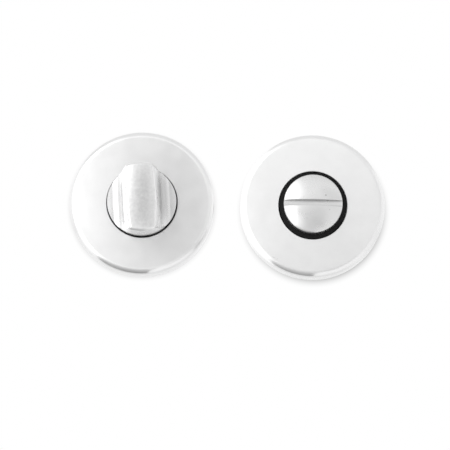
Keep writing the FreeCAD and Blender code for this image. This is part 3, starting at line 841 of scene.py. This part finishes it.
@dataclass
class Card:
    """A flat reflector that only metal sees: its light level runs along both of its sides.

    Left is the edge nearest the viewer on a card that faces right, which is clear from behind, and foot is that edge on
    one that faces the sky. The bend is the power of both ramps: above 1, the level changes fast at the left and the
    foot, and slowly further on. Below 1 it is the other way round.
    """

    name: str
    facing: Facing
    centre: Vector
    width: float
    length: float
    left: float
    right: float
    foot: float
    head: float
    bend: float = 1.0
    head_share: float = 1.0

    def build(self) -> bpy.types.Object:
        """Hang the card square to its facing, its head edge as narrow as stated.

        Returns:
            The card.
        """
        mesh = bmesh.new()
        bmesh.ops.create_grid(mesh, x_segments=1, y_segments=1, size=0.5)
        bmesh.ops.scale(mesh, vec=(self.width, self.length, 1), verts=mesh.verts)
        head = [vertex for vertex in mesh.verts if vertex.co.y > 0]
        bmesh.ops.scale(mesh, vec=(self.head_share, 1, 1), verts=head)
        if self.facing is not Facing.SKY:
            turn = Matrix.Rotation(math.radians(self.facing.value[2]), 3, "Z")
            upright = turn @ Matrix.Rotation(math.pi / 2, 3, "X")
            bmesh.ops.rotate(mesh, cent=(0, 0, 0), matrix=upright, verts=mesh.verts)
        bmesh.ops.translate(mesh, vec=self.centre, verts=mesh.verts)
        card = add_stage(mesh, self.name, self.paint())
        card.visible_camera = False
        return card

    def paint(self) -> bpy.types.Material:
        """Make the card's light, a product of a ramp across and a ramp along."""
        material, tree, output = bare_material(f"{self.name}_light")
        axes = add_node(tree, "SeparateXYZ")
        tree.links.new(add_node(tree, "TexCoord").outputs["Object"], axes.inputs[0])
        ramps = []
        across, along, turn = self.facing.value
        for axis, half, low, high in (
            (across, self.width / 2, self.left, self.right),
            (along, self.length / 2, self.foot, self.head),
        ):
            place = getattr(self.centre, axis.lower())
            left = add_range(tree, axes.outputs[axis], place - half, place + half, 1.0, 0.0)
            bent = add_node(tree, "Math", operation="POWER")
            bent.inputs[1].default_value = self.bend
            tree.links.new(left, bent.inputs[0])
            ramps.append(add_range(tree, bent.outputs[0], 0.0, 1.0, high, low))
        light = add_node(tree, "Emission")
        tree.links.new(add_math(tree, "MULTIPLY", *ramps), light.inputs["Strength"])
        shown = clear_behind(tree, light.outputs[0]) if turn else light.outputs[0]
        tree.links.new(shown, output.inputs["Surface"])
        return material


@dataclass
class ContactShadow:
    """The soft shadow that a rose throws on the white surface it lies on: a thin film behind its rim.

    It is darkest on the side that it is shifted to.
    """

    name: str
    node: str
    shift_x: float
    shift_z: float
    darkness: float
    reach: float
    drop: float = 0.2 * MM
    tuck: float = 1.0 * MM
    sides: int = 128

    def build(self) -> bpy.types.Object:
        """Lay the film round the rose.

        Returns:
            The film.
        """
        low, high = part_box(self.node)
        centre = (low + high) / 2
        radius = (high.x - low.x) / 2
        mesh = bmesh.new()
        rings = []
        for size in (radius - self.tuck, radius + 2 * self.reach):
            made = bmesh.ops.create_circle(mesh, cap_ends=False, segments=self.sides, radius=size)
            rings.extend({edge for vertex in made["verts"] for edge in vertex.link_edges})
        bmesh.ops.bridge_loops(mesh, edges=rings)
        bmesh.ops.rotate(mesh, cent=(0, 0, 0), matrix=Matrix.Rotation(math.pi / 2, 3, "X"), verts=mesh.verts)
        bmesh.ops.translate(mesh, vec=(centre.x, high.y + self.drop, centre.z), verts=mesh.verts)
        film = add_stage(mesh, self.name, self.paint(centre, radius))
        film.visible_glossy = False
        film.visible_transmission = False
        return film

    def paint(self, centre: Vector, radius: float) -> bpy.types.Material:
        """Make the film: clear, and greyer towards the rose, as seen from the front."""
        material, tree, output = bare_material(f"{self.name}_film")
        offset = add_node(tree, "VectorMath", operation="SUBTRACT")
        tree.links.new(add_node(tree, "TexCoord").outputs["Object"], offset.inputs[0])
        offset.inputs[1].default_value = (centre.x + self.shift_x, self.drop, centre.z + self.shift_z)
        away = add_node(tree, "VectorMath", operation="LENGTH")
        tree.links.new(offset.outputs[0], away.inputs[0])
        start = radius - math.hypot(self.shift_x, self.shift_z)
        near = add_range(tree, away.outputs["Value"], start, start + self.reach, 1.0, 0.0)
        soft = add_math(tree, "MULTIPLY", near, near)
        shade = add_range(tree, soft, 0.0, 1.0, 1.0, 1.0 - self.darkness)
        film = add_node(tree, "BsdfTransparent")
        tree.links.new(add_grey(tree, shade), film.inputs["Color"])
        tree.links.new(clear_behind(tree, film.outputs[0]), output.inputs["Surface"])
        return material


FRONT_LEVEL = -100 * MM
LOW_LEVEL = -30 * MM
LOW_MIDDLE = -24.5 * MM
LOW = {"left": 1.0, "right": 1.0, "bend": 0.35, "head_share": 0.6}
CARDS = (
    Card("turn_card", Facing.VIEWER, Vector((-0.0135, FRONT_LEVEL, 0.0145)), 0.079, 0.067, 1.7, 0.58, 0.87, 0.91, 1.8),
    Card("release_card", Facing.VIEWER, Vector((0.0685, FRONT_LEVEL, -0.01)), 0.075, 0.116, 1.0, 0.94, 0.62, 1.03),
    Card(
        "turn_low_card", Facing.SKY, Vector((-0.0105, LOW_MIDDLE, LOW_LEVEL)), 0.044, 0.037, foot=0.85, head=0.05, **LOW
    ),
    Card(
        "release_low_card", Facing.SKY, Vector((0.051, LOW_MIDDLE, LOW_LEVEL)), 0.036, 0.037, foot=0.85, head=0.1, **LOW
    ),
    Card("release_upper_light", Facing.RIGHT, Vector((0.031, -0.0625, 0.032)), 0.075, 0.056, 0.75, 1.35, 1.0, 1.0),
    Card("release_lower_light", Facing.RIGHT, Vector((0.031, -0.0435, -0.0205)), 0.037, 0.049, 1.6, 1.6, 1.0, 1.0),
    Card("release_rim_light", Facing.RIGHT, Vector((0.031, -0.005, 0.0)), 0.04, 0.09, 1.15, 1.15, 1.0, 1.0),
    Card("left_softbox", Facing.VIEWER, Vector((-0.21, -0.2, 0)), 0.24, 0.3, 2.3, 2.3, 1.0, 1.0),
    Card("right_softbox", Facing.VIEWER, Vector((0.24, -0.2, 0)), 0.24, 0.3, 0.89, 0.89, 1.14, 0.88),
    Card("top_card", Facing.SKY, Vector((0.03, 0.0, 0.08)), 0.26, 0.13, 0.85, 0.85, 1.0, 1.0),
    Card("bottom_card", Facing.SKY, Vector((0.03, 0.03, -0.06)), 0.16, 0.075, 0.85, 0.85, 1.0, 1.0),
)
SHADOWS = (
    ContactShadow("turn_shadow", "turn_rose", -0.1 * MM, 0.1 * MM, 0.2, 2.2 * MM),
    ContactShadow("release_shadow", "release_rose", 0.55 * MM, -0.9 * MM, 0.42, 3.4 * MM),
)


@dataclass
class Studio:
    """The pale floor, the soft lamp, the white surroundings and the camera."""

    camera_distance: float = 800 * MM
    camera_elevation: float = -9.5
    camera_roll: float = 0.93
    lens_mm: float = 178.2
    frame_px: float = 450.0
    middle_px: tuple[float, float] = (227.35, 203.8)
    floor_drop: float = 180 * MM
    floor_size: float = 6.0
    floor_grey: float = 0.93
    floor_roughness: float = 0.8
    floor_shine: float = 0.1
    fill_strength: float = 0.95
    lamp_place: tuple[float, float, float] = (-0.5, -0.55, 0.3)
    lamp_size: float = 0.45
    lamp_watts: float = 2.0

    def aim(self) -> None:
        """Place the camera so that the point between the two roses' faces lands where the photograph has it."""
        low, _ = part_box("turn_rose")
        _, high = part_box("release_rose")
        middle = Vector(((low.x + high.x) / 2, low.y, (low.z + high.z) / 2))
        data = bpy.data.cameras.new("photo_camera")
        data.lens = self.lens_mm
        data.sensor_width = 36.0
        data.dof.use_dof = False
        camera = bpy.data.objects.new("photo_camera", data)
        bpy.context.scene.collection.objects.link(camera)
        bpy.context.scene.camera = camera
        tilt = math.radians(self.camera_elevation)
        forward = Vector((0, math.cos(tilt), -math.sin(tilt)))
        turn = forward.to_track_quat("-Z", "Y").to_matrix() @ Matrix.Rotation(math.radians(self.camera_roll), 3, "Z")
        per_px = self.camera_distance * data.sensor_width / self.lens_mm / self.frame_px
        across = (self.middle_px[0] - self.frame_px / 2) * per_px
        up = (self.frame_px / 2 - self.middle_px[1]) * per_px
        offset = turn @ Vector((-across, -up, self.camera_distance))
        camera.matrix_world = Matrix.Translation(middle + offset) @ turn.to_4x4()

    def build(self) -> None:
        """Make the whole studio."""
        self.aim()
        self.surroundings()
        self.floor()
        for item in CARDS + SHADOWS:
            item.build()
        self.lamp()
        bpy.context.scene.view_settings.view_transform = "Standard"

    def surroundings(self) -> None:
        """White for the camera and for what mirrors or passes it, and a little less light on the rest."""
        world = bpy.data.worlds.new("white_surroundings")
        bpy.context.scene.world = world
        world.use_nodes = True
        tree = world.node_tree
        light = tree.nodes["Background"]
        light.inputs["Color"].default_value = grey(1.0)
        light.inputs["Strength"].default_value = self.fill_strength
        shown = add_node(tree, "Background", Color=grey(1.0), Strength=1.0)
        path = add_node(tree, "LightPath")
        seen = add_math(tree, "MAXIMUM", path.outputs["Is Camera Ray"], path.outputs["Is Glossy Ray"])
        seen = add_math(tree, "MAXIMUM", seen, path.outputs["Is Transmission Ray"])
        mix = add_node(tree, "MixShader")
        tree.links.new(seen, mix.inputs["Fac"])
        tree.links.new(light.outputs[0], mix.inputs[1])
        tree.links.new(shown.outputs[0], mix.inputs[2])
        tree.links.new(mix.outputs[0], tree.nodes["World Output"].inputs["Surface"])

    def floor(self) -> None:
        """A pale floor well below the pair, which can be seen through from below."""
        mesh = bmesh.new()
        low, _ = CAD_BOX
        bmesh.ops.create_grid(mesh, x_segments=1, y_segments=1, size=self.floor_size / 2)
        bmesh.ops.translate(mesh, verts=mesh.verts, vec=(0, 0, low.z - self.floor_drop))
        material, tree, shader = new_material("floor_paint")
        shader.inputs["Base Color"].default_value = grey(self.floor_grey)
        shader.inputs["Roughness"].default_value = self.floor_roughness
        shader.inputs["Specular IOR Level"].default_value = self.floor_shine
        output = tree.nodes["Material Output"]
        tree.links.new(clear_behind(tree, shader.outputs[0]), output.inputs["Surface"])
        new_object(mesh, "floor", material)

    def lamp(self) -> None:
        """Hang the large soft lamp at the upper left, so that it faces the pair."""
        data = bpy.data.lights.new("key", "AREA")
        data.size = self.lamp_size
        data.energy = self.lamp_watts
        lamp = bpy.data.objects.new("key", data)
        bpy.context.scene.collection.objects.link(lamp)
        place = Vector(self.lamp_place)
        lamp.matrix_world = Matrix.Translation(place) @ (-place).to_track_quat("-Z", "Y").to_matrix().to_4x4()
        lamp.visible_camera = False


def main() -> None:
    """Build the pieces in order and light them."""
    logging.basicConfig(level=logging.INFO, format="%(message)s")
    grain, mask = blasted_grain(), short_mark()
    finishes = (SATIN, TURNED, BLASTED, SPECKED, SCRATCHED, ZINC, NYLON, SPRING, PLATED, BLACK)
    paints = {finish.name: finish.build(grain, mask) for finish in finishes}
    Rose("turn_rose", 12.65 * MM).build(paints[SATIN.name])
    Rose("release_rose", 12.35 * MM).build(paints[SCRATCHED.name])
    ThumbTurn("thumb_turn").build(paints[TURNED.name], paints[BLASTED.name])
    Button("release_button").build(paints[SPECKED.name])
    Bush("turn_bush").build(paints[NYLON.name])
    Bush("release_bush").build(paints[NYLON.name])
    ThreadedBolts("turn_bolts").build(paints[PLATED.name])
    modelled = {"turn_rose", "release_rose", "thumb_turn", "release_button", "turn_bush", "release_bush", "turn_bolts"}
    bodies = frame["record"]["behaviour"]["bodies"]
    for row in frame["record"]["subparts"]:
        node, slot = row["node"], Slot(row["material_slot"])
        if node in modelled:
            continue
        body = next(Body(name) for name, nodes in bodies.items() if node in nodes)
        piece = finish_piece(even_copy(node), f"{node}_shaded", paints[slot.value], body, node)
        for face in piece.data.polygons:
            face.use_smooth = abs(face.normal.y) < FLAT_FACING
    Studio().build()


if __name__ == "__main__":
    main()
